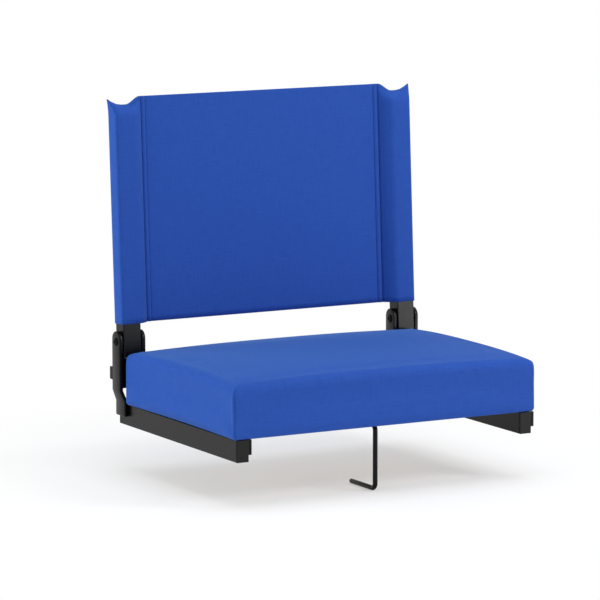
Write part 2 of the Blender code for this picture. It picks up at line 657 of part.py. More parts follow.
def saddles():
    """Omega straps that hold the hook's top run to the board, two screws each."""
    under = SADDLE_TOP - SADDLE_WALL
    axis = (0, HOOK_AXIS_Z)
    outline = [(-SADDLE_FLANGE, SADDLE_TOP), (-SADDLE_FLANGE, under), (-SADDLE_OUTER, under)]
    outline += arc(axis, SADDLE_OUTER, 180, 360)
    outline += [(SADDLE_OUTER, under), (SADDLE_FLANGE, under)]
    outline += [(SADDLE_FLANGE, SADDLE_TOP), (SADDLE_INNER, SADDLE_TOP)]
    outline += arc(axis, SADDLE_INNER, 360, 180)
    outline.append((-SADDLE_INNER, SADDLE_TOP))
    for where, y in saddle_places().items():
        strap = swept(outline, 1, y - SADDLE_LENGTH / 2, y + SADDLE_LENGTH / 2)
        saddle = piece(f"hook_{where}_saddle", strap, ZINC)
        for side, sign in SIDES.items():
            x = sign * SADDLE_SCREW_OUT
            cut(saddle, rod(SADDLE_SCREW_RADIUS + CLEARANCE, 4 * SADDLE_WALL, 2, (x, y, under)))
            seat_level = under - CLEARANCE
            length = BOARD_BOTTOM - seat_level + SADDLE_SCREW_BITE
            screw_piece(
                f"hook_{where}_{side}_screw", SADDLE_SCREW_RADIUS, SADDLE_SCREW_HEAD_RADIUS,
                SADDLE_SCREW_HEAD_HEIGHT, length, ZINC, Matrix.Translation((x, y, seat_level)),
            )


def bent(corners, radius):
    """Path in the YZ plane through corners, each inner one rounded to a bend radius."""
    path = [corners[0]]
    for before, here, after in zip(corners, corners[1:], corners[2:]):
        back = (before - here).normalized()
        ahead = (after - here).normalized()
        start, end = here + back * radius, here + ahead * radius
        centre = start + ahead * radius
        for i in range(ARC_STEPS + 1):
            turn = math.pi / 2 * i / ARC_STEPS
            path.append(centre - ahead * radius * math.cos(turn) - back * radius * math.sin(turn))
    return path + [corners[-1]]


def hook(hook_pivot):
    """Bent rod: a top run in the saddles, a shank past the bench's edge, and a foot under the bench."""
    foot_level = -HOOK_PLANK_GAP - HOOK_RADIUS - HOOK_AXIS_Z
    corners = [
        Vector((0, HOOK_TAIL, 0)),
        Vector((0, 0, 0)),
        Vector((0, 0, foot_level)),
        Vector((0, HOOK_FOOT, foot_level)),
    ]
    path = bent(corners, HOOK_BEND)
    curve = bpy.data.curves.new("bench_hook", "CURVE")
    curve.dimensions = "3D"
    curve.bevel_depth = HOOK_RADIUS
    curve.bevel_resolution = 3
    curve.use_fill_caps = True
    spline = curve.splines.new("POLY")
    spline.points.add(len(path) - 1)
    for point, place in zip(spline.points, path):
        point.co = (*place, 1)
    piece("bench_hook", curve, BLACK_STEEL, hook_pivot)
    middle = COLLAR_START + COLLAR_LENGTH / 2
    bore = HOOK_RADIUS + CLEARANCE
    ring("hook_collar", bore, bore + COLLAR_WALL, COLLAR_LENGTH, ZINC, hook_pivot, along(1, (0, middle, 0)))


def shade_round_pieces():
    """Smooth shading on round faces, with sharper edges kept."""
    for thing in PARTS.objects:
        if thing.type == "MESH":
            thing.data.shade_smooth()
            thing.data.set_sharp_from_angle(angle=SHARP_ANGLE)


clear_scene()
PARTS = collection("stadium_chair")
CUTTERS = collection("cutters")
BLACK_STEEL = material("black_powder_coat", "262627", 0.42)
BLACK_PLASTIC = material("black_plastic", "1f1f20", 0.5)
BLUE_CLOTH = material("blue_woven_polyester", "2f55ad", 0.8)
FOAM = material("seat_foam", "e6dcb8", 0.95)
PLYWOOD = material("plywood", "b98f5e", 0.7)
NYLON = material("nylon", "d8d8d2", 0.45)
ZINC = material("zinc_plate", "a9adb0", 0.35, 1.0)

BACK_PIVOT = empty("back_pivot", (0, PIVOT_Y, PIVOT_HEIGHT), -RECLINE)
HOOK_PIVOT = empty("hook_pivot", (0, HOOK_SHANK_Y, HOOK_AXIS_Z))
rails()
hinges(BACK_PIVOT)
cross_bar()
uprights(BACK_PIVOT)
sling(BACK_PIVOT)
seat()
saddles()
hook(HOOK_PIVOT)
shade_round_pieces()
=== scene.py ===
# Stadium chair: a folding bleacher seat with a padded cushion, a sewn fabric back and a hook for the bench.
import json
import math

import bmesh
import bpy
from mathutils import Matrix, Vector


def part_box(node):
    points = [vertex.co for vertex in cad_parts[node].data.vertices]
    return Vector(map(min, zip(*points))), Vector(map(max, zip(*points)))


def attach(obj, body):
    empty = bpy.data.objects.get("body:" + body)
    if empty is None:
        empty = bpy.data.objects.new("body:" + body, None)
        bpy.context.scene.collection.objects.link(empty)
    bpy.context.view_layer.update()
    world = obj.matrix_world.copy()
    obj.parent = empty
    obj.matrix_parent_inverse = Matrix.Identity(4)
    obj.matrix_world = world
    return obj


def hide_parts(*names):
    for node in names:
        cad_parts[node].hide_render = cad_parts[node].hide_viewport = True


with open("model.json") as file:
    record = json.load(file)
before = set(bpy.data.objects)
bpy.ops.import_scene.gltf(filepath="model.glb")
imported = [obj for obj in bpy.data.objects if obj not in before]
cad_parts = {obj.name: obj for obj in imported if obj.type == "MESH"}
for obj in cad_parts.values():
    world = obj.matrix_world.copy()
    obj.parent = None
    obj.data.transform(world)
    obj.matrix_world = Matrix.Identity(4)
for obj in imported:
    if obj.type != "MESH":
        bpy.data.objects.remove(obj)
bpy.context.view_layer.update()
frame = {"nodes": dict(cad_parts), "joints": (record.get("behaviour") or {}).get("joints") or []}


# Rails
# Two lengths of one drawn steel tube with a fin along its side, cut to the seat's depth and powder coated.
# They lie on the bench and carry the board from below, and the hinge plates at the rear.

POWDER_BLACK = "060607"
POWDER_GREY = "0b0b0c"
# Orange peel of a powder coat is about 0.8 mm from bump to bump, drawn at 1.6 mm so that it shows
PEEL_SIZE = 0.0016
PEEL_DEPTH = 0.00003
COAT_CLOUD_SIZE = 0.03


def linear(hex_colour):
    """Linear RGBA of an sRGB hex colour."""
    shares = [int(hex_colour[i : i + 2], 16) / 255 for i in (0, 2, 4)]
    return (*[s / 12.92 if s <= 0.04045 else ((s + 0.055) / 1.055) ** 2.4 for s in shares], 1)


def add_node(owner, kind, inputs, **settings):
    """Adds a node to a material's or the world's tree, with its settings, and its inputs set or linked."""
    tree = owner.node_tree
    node = tree.nodes.new("ShaderNode" + kind)
    for name, value in settings.items():
        setattr(node, name, value)
    for name, value in inputs.items():
        if isinstance(value, bpy.types.NodeSocket):
            tree.links.new(value, node.inputs[name])
        else:
            node.inputs[name].default_value = value
    return node


def empty_material(name):
    """A material whose node tree is still empty."""
    made = bpy.data.materials.new(name)
    made.use_nodes = True
    made.node_tree.nodes.clear()
    return made


def dress(finish, *nodes):
    """Gives CAD nodes their finish."""
    for name in nodes:
        slots = frame["nodes"][name].data.materials
        slots.clear()
        slots.append(finish)


# Powder coat: baked polyester powder, semi gloss, with a fine orange peel that breaks up its reflections
powder_coat = empty_material("black_powder_coat")
place = add_node(powder_coat, "TexCoord", {}).outputs["Object"]
cloud = add_node(powder_coat, "TexNoise", {"Vector": place, "Scale": 1 / COAT_CLOUD_SIZE, "Detail": 3.0})
peel = add_node(powder_coat, "TexNoise", {"Vector": place, "Scale": 1 / PEEL_SIZE, "Detail": 1.0})
shade = add_node(
    powder_coat, "Mix",
    {0: cloud.outputs["Fac"], 6: linear(POWDER_BLACK), 7: linear(POWDER_GREY)}, data_type="RGBA",
)
gloss = add_node(
    powder_coat, "MapRange", {"Value": cloud.outputs["Fac"], "To Min": 0.24, "To Max": 0.32},
)
skin = add_node(
    powder_coat, "Bump", {"Height": peel.outputs["Fac"], "Strength": 0.5, "Distance": PEEL_DEPTH},
)
coat = add_node(
    powder_coat, "BsdfPrincipled",
    {
        "Base Color": shade.outputs[2], "Roughness": gloss.outputs["Result"],
        "Normal": skin.outputs["Normal"], "IOR": 1.5, "Specular IOR Level": 0.15,
    },
)
add_node(powder_coat, "OutputMaterial", {"Surface": coat.outputs["BSDF"]})
dress(powder_coat, "left_rail", "right_rail")


# Rail end caps
# Moulded black polyethylene plugs, pushed into both ends of each rail until their heads meet the tube.
# They cover its cut edges, and friction alone holds them.

CAP_BLACK = "09090a"
CAP_GREY = "0e0e0f"
# Spark eroded mould texture, about 0.25 mm, drawn at 0.9 mm so that it shows
MOULD_GRAIN = 0.0009
MOULD_DEPTH = 0.00004

# Moulded polyethylene: dull, slightly waxy, with the mould's fine grain
cap_plastic = empty_material("moulded_black_polyethylene")
place = add_node(cap_plastic, "TexCoord", {}).outputs["Object"]
grain = add_node(cap_plastic, "TexNoise", {"Vector": place, "Scale": 1 / MOULD_GRAIN, "Detail": 2.0})
shade = add_node(
    cap_plastic, "Mix",
    {0: grain.outputs["Fac"], 6: linear(CAP_BLACK), 7: linear(CAP_GREY)}, data_type="RGBA",
)
dull = add_node(cap_plastic, "MapRange", {"Value": grain.outputs["Fac"], "To Min": 0.42, "To Max": 0.58})
skin = add_node(
    cap_plastic, "Bump", {"Height": grain.outputs["Fac"], "Strength": 0.4, "Distance": MOULD_DEPTH},
)
coat = add_node(
    cap_plastic, "BsdfPrincipled",
    {
        "Base Color": shade.outputs[2], "Roughness": dull.outputs["Result"],
        "Normal": skin.outputs["Normal"], "IOR": 1.51, "Specular IOR Level": 0.2,
    },
)
add_node(cap_plastic, "OutputMaterial", {"Surface": coat.outputs["BSDF"]})
for side in ("left", "right"):
    dress(cap_plastic, f"{side}_rail_front_cap", f"{side}_rail_rear_cap")


# Rail screws
# Zinc plated steel screws that run up from inside each rail, through its top wall into the board.
# Two hold each rail, one near the front and one near the rear.

ZINC_LIGHT = "b4b8ba"
ZINC_DARK = "8f9498"
ZINC_CLOUD_SIZE = 0.004

# Zinc plate: a thin bright plating with a cloudy, slightly blue grey cast
zinc_plate = empty_material("zinc_plated_steel")
place = add_node(zinc_plate, "TexCoord", {}).outputs["Object"]
cloud = add_node(zinc_plate, "TexNoise", {"Vector": place, "Scale": 1 / ZINC_CLOUD_SIZE, "Detail": 4.0})
shade = add_node(
    zinc_plate, "Mix",
    {0: cloud.outputs["Fac"], 6: linear(ZINC_DARK), 7: linear(ZINC_LIGHT)}, data_type="RGBA",
)
gloss = add_node(zinc_plate, "MapRange", {"Value": cloud.outputs["Fac"], "To Min": 0.26, "To Max": 0.42})
metal = add_node(
    zinc_plate, "BsdfPrincipled",
    {"Base Color": shade.outputs[2], "Roughness": gloss.outputs["Result"], "Metallic": 1.0},
)
add_node(zinc_plate, "OutputMaterial", {"Surface": metal.outputs["BSDF"]})
for side in ("left", "right"):
    dress(zinc_plate, f"{side}_rail_front_screw", f"{side}_rail_rear_screw")


# Hinge plates
# Flat steel bars with round heads, stepped sideways to lie on the rails, where their feet are welded.
# Two stand on each side with the upright between their heads. Their edges are tumbled round before coating.

PLATE_THICKNESS = 0.005
PLATE_WIDTH = 0.021
STEP_LOW = 0.030
STEP_HIGH = 0.044
PLATE_ROUNDING = 0.0011
PLATE_GAP = 0.0012
WELD_GAP = 0.0003
# Places closer than the first of these count as one, and edges sharper than the second are rounded
TOUCHING = 1e-6
SHARP_ANGLE = math.radians(50)
PIVOT = Vector(next(joint["pos_m"] for joint in frame["joints"] if joint["name"] == "back_fold"))


def mesh_piece(name, bm, finish, smooth_angle=35):
    """A new object at the origin from a bmesh, smooth apart from its sharp edges."""
    mesh = bpy.data.meshes.new(name)
    bm.to_mesh(mesh)
    bm.free()
    mesh.materials.append(finish)
    mesh.shade_smooth()
    mesh.set_sharp_from_angle(angle=math.radians(smooth_angle))
    made = bpy.data.objects.new(name, mesh)
    bpy.context.scene.collection.objects.link(made)
    return made


def cut_through(bm, axis, station):
    """Cuts all of a bmesh along the plane where one coordinate has a set value."""
    facing = [0, 0, 0]
    facing[axis] = 1
    geom = [*bm.verts, *bm.edges, *bm.faces]
    bmesh.ops.bisect_plane(
        bm, geom=geom, dist=TOUCHING, plane_co=[station * way for way in facing], plane_no=facing,
    )


def round_edges(bm, width, segments):
    """Rounds every sharp edge of a solid."""
    sharp = [e for e in bm.edges if len(e.link_faces) == 2 and e.calc_face_angle() > SHARP_ANGLE]
    bmesh.ops.bevel(
        bm, geom=sharp, offset=width, affect="EDGES", segments=segments, profile=0.5, material=-1,
        clamp_overlap=True,
    )


for side, sign in (("left", -1), ("right", 1)):
    for where, way in (("outer", sign), ("inner", -sign)):
        node = f"{side}_{where}_hinge_plate"
        low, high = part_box(node)
        tube_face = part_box(f"{side}_upright")[way > 0].x
        rail_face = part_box(f"{side}_rail")[way > 0].x
        near = tube_face + way * PLATE_GAP
        step = rail_face + way * WELD_GAP - near
        bm = bmesh.new()
        middle = Vector((near, high.y - PLATE_WIDTH / 2, (low.z + high.z) / 2))
        upright = Matrix.Translation(middle) @ Matrix.Rotation(math.pi / 2, 4, "Y")
        flat = Matrix.Diagonal((high.z - low.z, PLATE_WIDTH, 1, 1))
        bmesh.ops.create_grid(bm, x_segments=1, y_segments=1, size=0.5, matrix=upright @ flat)
        head = [v for v in bm.verts if v.co.z > middle.z]
        bmesh.ops.bevel(
            bm, geom=head, offset=PLATE_WIDTH / 2, affect="VERTICES", segments=14, profile=0.5, material=-1,
        )
        bmesh.ops.remove_doubles(bm, verts=bm.verts, dist=1e-5)
        cut_through(bm, 2, STEP_LOW)
        cut_through(bm, 2, STEP_HIGH)
        for vert in bm.verts:
            fall = min(max((STEP_HIGH - vert.co.z) / (STEP_HIGH - STEP_LOW), 0), 1)
            vert.co.x += step * fall
            if vert.co.y < PIVOT.y and fall > 0:
                vert.co.y += (low.y - (high.y - PLATE_WIDTH)) * fall
        grown = bmesh.ops.extrude_face_region(bm, geom=bm.faces[:])["geom"]
        outward = Vector((way * PLATE_THICKNESS, 0, 0))
        bmesh.ops.translate(bm, vec=outward, verts=[v for v in grown if isinstance(v, bmesh.types.BMVert)])
        bmesh.ops.recalc_face_normals(bm, faces=bm.faces)
        round_edges(bm, PLATE_ROUNDING, segments=3)
        plate = mesh_piece(f"{side}_{where}_plate", bm, powder_coat)
        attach(plate, "seat_frame")
        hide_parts(node)


# Pivot rivets
# Semi tubular steel rivets through both plates and the upright, blackened before they were set.
# The head is a low dome with the rivet's hollow shank showing as a hole at its middle.

RIVET_BLACK = "040404"
RIVET_GREY = "0a0a0a"
RIVET_CLOUD_SIZE = 0.002
RIVET_HEAD = 0.0052
RIVET_RIM = 0.0006
RIVET_DOME = 0.0016
RIVET_HOLE_DEPTH = 0.0018
# The hole narrows to this share at its bottom
RIVET_HOLE_TAPER = 0.85
DOME_DEGREES = (70, 58, 45, 30, 15, 0)
RIVET_SHANK = 0.003

# Black oxide: a thin dull conversion coat on steel, slightly cloudy
black_oxide = empty_material("black_oxide_steel")
place = add_node(black_oxide, "TexCoord", {}).outputs["Object"]
cloud = add_node(black_oxide, "TexNoise", {"Vector": place, "Scale": 1 / RIVET_CLOUD_SIZE, "Detail": 3.0})
shade = add_node(
    black_oxide, "Mix",
    {0: cloud.outputs["Fac"], 6: linear(RIVET_BLACK), 7: linear(RIVET_GREY)}, data_type="RGBA",
)
dull = add_node(black_oxide, "MapRange", {"Value": cloud.outputs["Fac"], "To Min": 0.3, "To Max": 0.45})
coat = add_node(
    black_oxide, "BsdfPrincipled",
    {
        "Base Color": shade.outputs[2], "Roughness": dull.outputs["Result"], "IOR": 1.5,
        "Specular IOR Level": 0.12,
    },
)
add_node(black_oxide, "OutputMaterial", {"Surface": coat.outputs["BSDF"]})


def turned(profile, axis, middle, steps=32):
    """A solid turned from a profile of (radius, distance along the axis) points about one axis."""
    bm = bmesh.new()
    line = [bm.verts.new((radius, 0, along)) for radius, along in profile]
    edges = [bm.edges.new(pair) for pair in zip(line, line[1:])]
    bmesh.ops.spin(
        bm, geom=[*line, *edges], cent=(0, 0, 0), axis=(0, 0, 1), angle=2 * math.pi, steps=steps,
        use_merge=True,
    )
    bmesh.ops.remove_doubles(bm, verts=bm.verts, dist=TOUCHING)
    bmesh.ops.recalc_face_normals(bm, faces=bm.faces)
    facing = Vector((0, 0, 1)).rotation_difference(Vector(axis)).to_matrix().to_4x4()
    bmesh.ops.transform(bm, matrix=Matrix.Translation(middle) @ facing, verts=bm.verts)
    return bm


for side in ("left", "right"):
    low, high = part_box(f"{side}_pivot_rivet")
    top = (high.x - low.x) / 2
    seat = top - RIVET_RIM - RIVET_DOME
    turns = [math.radians(degrees) for degrees in DOME_DEGREES]
    head = [(RIVET_HEAD * math.cos(a), seat + RIVET_RIM + RIVET_DOME * math.sin(a)) for a in turns]
    hole = [(0, top - RIVET_HOLE_DEPTH), (head[0][0] * RIVET_HOLE_TAPER, top - RIVET_HOLE_DEPTH)]
    head = [*hole, *head, (RIVET_HEAD, seat), (RIVET_SHANK, seat)]
    profile = head + [(radius, -along) for radius, along in reversed(head)]
    rivet = mesh_piece(f"{side}_rivet", turned(profile, (1, 0, 0), (low + high) / 2), black_oxide)
    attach(rivet, "seat_frame")
    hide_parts(f"{side}_pivot_rivet")


# Washers and bushes
# Turned natural nylon, held by the rivets alone. The washers keep the plates off the upright's coat, and
# the bushes line its rivet holes.

NYLON_LIGHT = "dcdbd3"
NYLON_DARK = "cbc9be"
NYLON_CLOUD_SIZE = 0.006

# Nylon: milky and slightly see-through, so that light goes a little way in
nylon = empty_material("natural_nylon")
place = add_node(nylon, "TexCoord", {}).outputs["Object"]
cloud = add_node(nylon, "TexNoise", {"Vector": place, "Scale": 1 / NYLON_CLOUD_SIZE, "Detail": 2.0})
shade = add_node(
    nylon, "Mix", {0: cloud.outputs["Fac"], 6: linear(NYLON_DARK), 7: linear(NYLON_LIGHT)}, data_type="RGBA",
)
dull = add_node(nylon, "MapRange", {"Value": cloud.outputs["Fac"], "To Min": 0.4, "To Max": 0.5})
coat = add_node(
    nylon, "BsdfPrincipled",
    {"Base Color": shade.outputs[2], "Roughness": dull.outputs["Result"], "IOR": 1.53},
)
add_node(nylon, "OutputMaterial", {"Surface": coat.outputs["BSDF"]})
for side in ("left", "right"):
    dress(nylon, f"{side}_outer_washer", f"{side}_inner_washer", f"{side}_pivot_bush")


# Cross bar and stop bars
# A flat steel bar welded over the rear edges of all four plates, and a short one between each pair of
# plates, under the upright's tail, which stops the back from leaning further. All are coated with the frame.

dress(powder_coat, "rear_cross_bar", "left_stop_bar", "right_stop_bar")


# Uprights
# Rectangular steel tubes that the back's pockets slip over, coated with the frame.
# A plastic plug closes each top, hidden in its pocket.

dress(powder_coat, "left_upright", "right_upright")
dress(cap_plastic, "left_upright_cap", "right_upright_cap")


# Seat board
# A panel of plain plywood, screwed down on the rails, with the foam on it and the cover drawn round both.
# Only its underside shows, inside the cover's hem.

PLY_LIGHT = "bfa680"
PLY_DARK = "9c8058"
VENEER_GRAIN = 0.006
VENEER_LENGTH = 0.16
VENEER_DEPTH = 0.0002

# Rotary cut veneer: long wavy bands of early and late wood, dull and dry
plywood = empty_material("bare_plywood")
place = add_node(plywood, "TexCoord", {}).outputs["Object"]
turn = add_node(
    plywood, "Mapping",
    {"Vector": place, "Scale": (1 / VENEER_LENGTH, 1 / VENEER_GRAIN, 1 / VENEER_GRAIN)},
)
band = add_node(plywood, "TexNoise", {"Vector": turn.outputs["Vector"], "Scale": 1.0, "Detail": 5.0})
shade = add_node(
    plywood, "Mix", {0: band.outputs["Fac"], 6: linear(PLY_DARK), 7: linear(PLY_LIGHT)}, data_type="RGBA",
)
dull = add_node(plywood, "MapRange", {"Value": band.outputs["Fac"], "To Min": 0.62, "To Max": 0.78})
skin = add_node(
    plywood, "Bump", {"Height": band.outputs["Fac"], "Strength": 0.3, "Distance": VENEER_DEPTH},
)
coat = add_node(
    plywood, "BsdfPrincipled",
    {
        "Base Color": shade.outputs[2], "Roughness": dull.outputs["Result"],
        "Normal": skin.outputs["Normal"], "IOR": 1.5,
    },
)
add_node(plywood, "OutputMaterial", {"Surface": coat.outputs["BSDF"]})
dress(plywood, "seat_board")


# Seat cushion
# A block of upholstery foam under a tight woven cover. The cover rolls over the top edges in one piece,
# has a seam down each corner, and is turned in under the board, where it is stapled.

CLOTH_BLUE = "2b52aa"
CLOTH_SHADE_AND_DARK_YARN = "1b3b89"
CLOTH_SHEEN = "a0dcb4"
# Threads of this cloth are about 0.6 mm apart, drawn at 1.2 mm so that they show
THREAD_SPACING = 0.0012
THREAD_DEPTH = 0.00012
# Yarns are thicker and thinner in turn along their length
SLUB_LENGTH = 0.02
SLUB_WIDTH = 0.0016
CLOTH_CLOUD_SIZE = 0.012
# How much of the way from the darker blue to full blue each of these takes the cloth, from a start below the
# darker blue: the weave's part is painted shade in the gaps between threads, and the cloud's and slubs'
# parts are the yarn's own uneven tone
CLOUD_PART = 0.15
SLUB_PART = 1.4
WEAVE_PART = 0.4
SHADE_START = -0.16

SEAT_LOW, SEAT_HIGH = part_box("seat_cover")
SEAT_MIDDLE = (SEAT_LOW + SEAT_HIGH) / 2
SEAT_HALF = (SEAT_HIGH - SEAT_LOW) / 2
CROWN_ACROSS = 0.0047
CROWN_DEEP = 0.0053
CROWN_POWER = 2.5
SEAT_EDGE = SEAT_HIGH.z - CROWN_ACROSS - CROWN_DEEP
TOP_ROLL = 0.0107
BOTTOM_ROLL = 0.005
CORNER_ROLL = 0.003
SIDE_DRAW_IN = 0.003
END_DRAW_IN = 0.0005
TURN_IN = 0.028
HEM_THICKNESS = 0.0014
BOARD_PLAY = 0.0003
CELL = 0.0065
# Cuts round the rolled edges, as shares of the roll, and the reach and passes of the top corners' smoothing
TOP_CUTS = (0.11, 0.26, 0.47, 0.73, 1)
BOTTOM_CUTS = (0.35, 0.7, 1)
CORNER_REACH = 2 * TOP_ROLL
CORNER_DROP = 1.2 * TOP_ROLL
CORNER_PASSES = 2
# The cover starts this much too small, and the stuffing may push it out by no more and never in
STUFFING = 0.002
FREE_POWER = 6
STUFFING_PRESSURE = 4.0
STUFFING_FRAMES = 20
SEAM_DEPTH = 0.0005
SEAM_START = 0.004
SEAM_FADE = 0.01

# Woven polyester: a plain weave of dull filament yarn, even in colour, with a soft bloom at grazing angles
woven_polyester = empty_material("blue_woven_polyester")
flat_cloth = add_node(woven_polyester, "UVMap", {}, uv_map="cloth").outputs["UV"]
threads = add_node(
    woven_polyester, "VectorMath", {0: flat_cloth, "Scale": 1 / THREAD_SPACING}, operation="SCALE",
)
over = add_node(woven_polyester, "TexChecker", {"Vector": threads.outputs["Vector"], "Scale": 1.0})
axes = add_node(woven_polyester, "SeparateXYZ", {"Vector": threads.outputs["Vector"]})
ridges = []
for name in ("X", "Y"):
    phase = add_node(woven_polyester, "Math", {0: axes.outputs[name], 1: math.pi}, operation="MULTIPLY")
    wave = add_node(woven_polyester, "Math", {0: phase.outputs[0]}, operation="SINE")
    ridges.append(add_node(woven_polyester, "Math", {0: wave.outputs[0]}, operation="ABSOLUTE"))
weave = add_node(
    woven_polyester, "Mix",
    {0: over.outputs["Fac"], 2: ridges[0].outputs[0], 3: ridges[1].outputs[0]}, data_type="FLOAT",
)
place = add_node(woven_polyester, "TexCoord", {}).outputs["Object"]
cloud = add_node(
    woven_polyester, "TexNoise", {"Vector": place, "Scale": 1 / CLOTH_CLOUD_SIZE, "Detail": 4.0},
)
slubs = []
for weft, warp in ((SLUB_LENGTH, SLUB_WIDTH), (SLUB_WIDTH, SLUB_LENGTH)):
    drawn = add_node(woven_polyester, "Mapping", {"Vector": flat_cloth, "Scale": (1 / weft, 1 / warp, 1)})
    slub = add_node(
        woven_polyester, "TexNoise", {"Vector": drawn.outputs["Vector"], "Scale": 1.0, "Detail": 2.0},
    )
    slubs.append(slub)
yarn = add_node(
    woven_polyester, "Mix",
    {0: over.outputs["Fac"], 2: slubs[0].outputs["Fac"], 3: slubs[1].outputs["Fac"]}, data_type="FLOAT",
)
uneven = add_node(
    woven_polyester, "Math", {0: cloud.outputs["Fac"], 1: CLOUD_PART, 2: SHADE_START},
    operation="MULTIPLY_ADD",
)
streaked = add_node(
    woven_polyester, "Math", {0: yarn.outputs[0], 1: SLUB_PART, 2: uneven.outputs[0]},
    operation="MULTIPLY_ADD",
)
# Painted shade and real tone: the weave paints the gaps between threads towards the darker blue as their
# shade, while the cloud and the slubs give the yarn's own uneven tone
weave_shade_and_yarn_tone = add_node(
    woven_polyester, "Math", {0: weave.outputs[0], 1: WEAVE_PART, 2: streaked.outputs[0]},
    operation="MULTIPLY_ADD",
)
shade = add_node(
    woven_polyester, "Mix",
    {0: weave_shade_and_yarn_tone.outputs[0], 6: linear(CLOTH_SHADE_AND_DARK_YARN), 7: linear(CLOTH_BLUE)}, data_type="RGBA",
)
dull = add_node(woven_polyester, "MapRange", {"Value": weave.outputs[0], "To Min": 0.9, "To Max": 0.72})
skin = add_node(
    woven_polyester, "Bump", {"Height": weave.outputs[0], "Strength": 0.35, "Distance": THREAD_DEPTH},
)
cloth = add_node(
    woven_polyester, "BsdfPrincipled",
    {
        "Base Color": shade.outputs[2], "Roughness": dull.outputs["Result"],
        "Normal": skin.outputs["Normal"], "IOR": 1.45, "Specular IOR Level": 0.1,
        "Sheen Weight": 0.115, "Sheen Roughness": 0.4, "Sheen Tint": linear(CLOTH_SHEEN),
    },
)
add_node(woven_polyester, "OutputMaterial", {"Surface": cloth.outputs["BSDF"]})


def from_edge(co, axis):
    """How far a place on the block lies in from its sides or its ends."""
    return SEAT_HALF[axis] - abs(co[axis] - SEAT_MIDDLE[axis])


def spaced(low, high, near_low, near_high, cell):
    """Places for cuts between two ends: set distances in from each end, and the rest a cell apart."""
    start, end = low + near_low[-1], high - near_high[-1]
    count = max(1, round((end - start) / cell))
    between = [start + (end - start) * i / count for i in range(1, count)]
    return [low + d for d in near_low] + between + [high - d for d in reversed(near_high)]


def roll_angle(depth, down, roll):
    """Angle round a rolled edge for a place on the block: 0 where the side starts, 90 degrees on top."""
    if down < TOUCHING:
        return math.pi / 4 * (1 + min(depth / roll, 1))
    return math.pi / 4 * (1 - min(down / roll, 1))


def cushion_point(co, slack):
    """Where a place on the plain block goes on the cushion: rounded, drawn in, crowned, and slack inside."""
    upper = co.z > (SEAT_LOW.z + SEAT_EDGE) / 2
    roll = TOP_ROLL if upper else BOTTOM_ROLL
    level = SEAT_EDGE if upper else SEAT_LOW.z
    down = abs(level - co.z)
    depth = [from_edge(co, i) for i in (0, 1)]
    inset = []
    for d in depth:
        rolled = roll * (1 - math.cos(roll_angle(d, 0, roll))) if d < roll else d
        side = roll * (1 - math.cos(roll_angle(0, down, roll)))
        at_edge = roll * (1 - math.cos(math.pi / 4))
        inset.append(rolled if down < TOUCHING else d + (rolled - d) * side / at_edge)
    angle = roll_angle(min(depth), down, roll)
    fall = roll * (1 - math.sin(angle)) if down < roll else down
    corner = [CORNER_ROLL - i for i in inset]
    if min(corner) > 0:
        turn = math.pi / 4 * min(corner) / max(corner)
        round_corner = (max(corner) * math.cos(turn), max(corner) * math.sin(turn))
        corner = round_corner if corner[0] >= corner[1] else round_corner[::-1]
        inset = [CORNER_ROLL - c for c in corner]
    signs = [math.copysign(1, co[i] - SEAT_MIDDLE[i]) for i in (0, 1)]
    share = [1 - inset[i] / SEAT_HALF[i] for i in (0, 1)]
    height = level - fall if upper else level + fall
    rise = min((height - SEAT_LOW.z) / (SEAT_EDGE - TOP_ROLL - SEAT_LOW.z), 1)
    free = [1 - share[i] ** FREE_POWER for i in (0, 1)]
    between = 4 * rise * (1 - rise)
    x = share[0] * (SEAT_HALF.x - SIDE_DRAW_IN * (1 - share[1] ** 2) - slack * free[1] * between)
    y = share[1] * (SEAT_HALF.y - END_DRAW_IN * (1 - share[0] ** 2) - slack * free[0] * between)
    crown = CROWN_ACROSS * (1 - share[0] ** CROWN_POWER) + CROWN_DEEP * (1 - share[1] ** CROWN_POWER)
    top = height + (crown - slack * free[0] * free[1]) * rise
    return Vector((SEAT_MIDDLE.x + signs[0] * x, SEAT_MIDDLE.y + signs[1] * y, top))


def unfold(bm):
    """Lays the cover flat as cloth coordinates: the sides hang from the top panel's edges."""
    layer = bm.loops.layers.uv.new("cloth")
    for face in bm.faces:
        axis = max(range(3), key=lambda i: abs(face.normal[i]))
        for loop in face.loops:
            place = loop.vert.co - SEAT_MIDDLE
            if axis < 2:
                place[axis] += math.copysign(SEAT_EDGE - loop.vert.co.z, place[axis])
            loop[layer].uv = place.xy


def stuffed(bm):
    """Where a cover's points go when its stuffing swells: a short cloth simulation, held underneath."""
    mesh = bpy.data.meshes.new("slack_cover")
    bm.to_mesh(mesh)
    cover = bpy.data.objects.new("slack_cover", mesh)
    bpy.context.scene.collection.objects.link(cover)
    held = cover.vertex_groups.new(name="held")
    held.add([v.index for v in mesh.vertices if v.co.z < SEAT_LOW.z + BOTTOM_ROLL], 1.0, "REPLACE")
    swelling = cover.modifiers.new("stuffing", "CLOTH")
    swelling.settings.use_pressure = True
    swelling.settings.uniform_pressure_force = STUFFING_PRESSURE
    swelling.settings.vertex_group_mass = held.name
    swelling.settings.effector_weights.gravity = 0
    swelling.collision_settings.use_collision = False
    for step in range(1, STUFFING_FRAMES + 1):
        bpy.context.scene.frame_set(step)
    swollen = cover.evaluated_get(bpy.context.evaluated_depsgraph_get()).data
    places = [v.co.copy() for v in swollen.vertices]
    bpy.context.scene.frame_set(1)
    bpy.data.objects.remove(cover)
    bpy.data.meshes.remove(mesh)
    return places


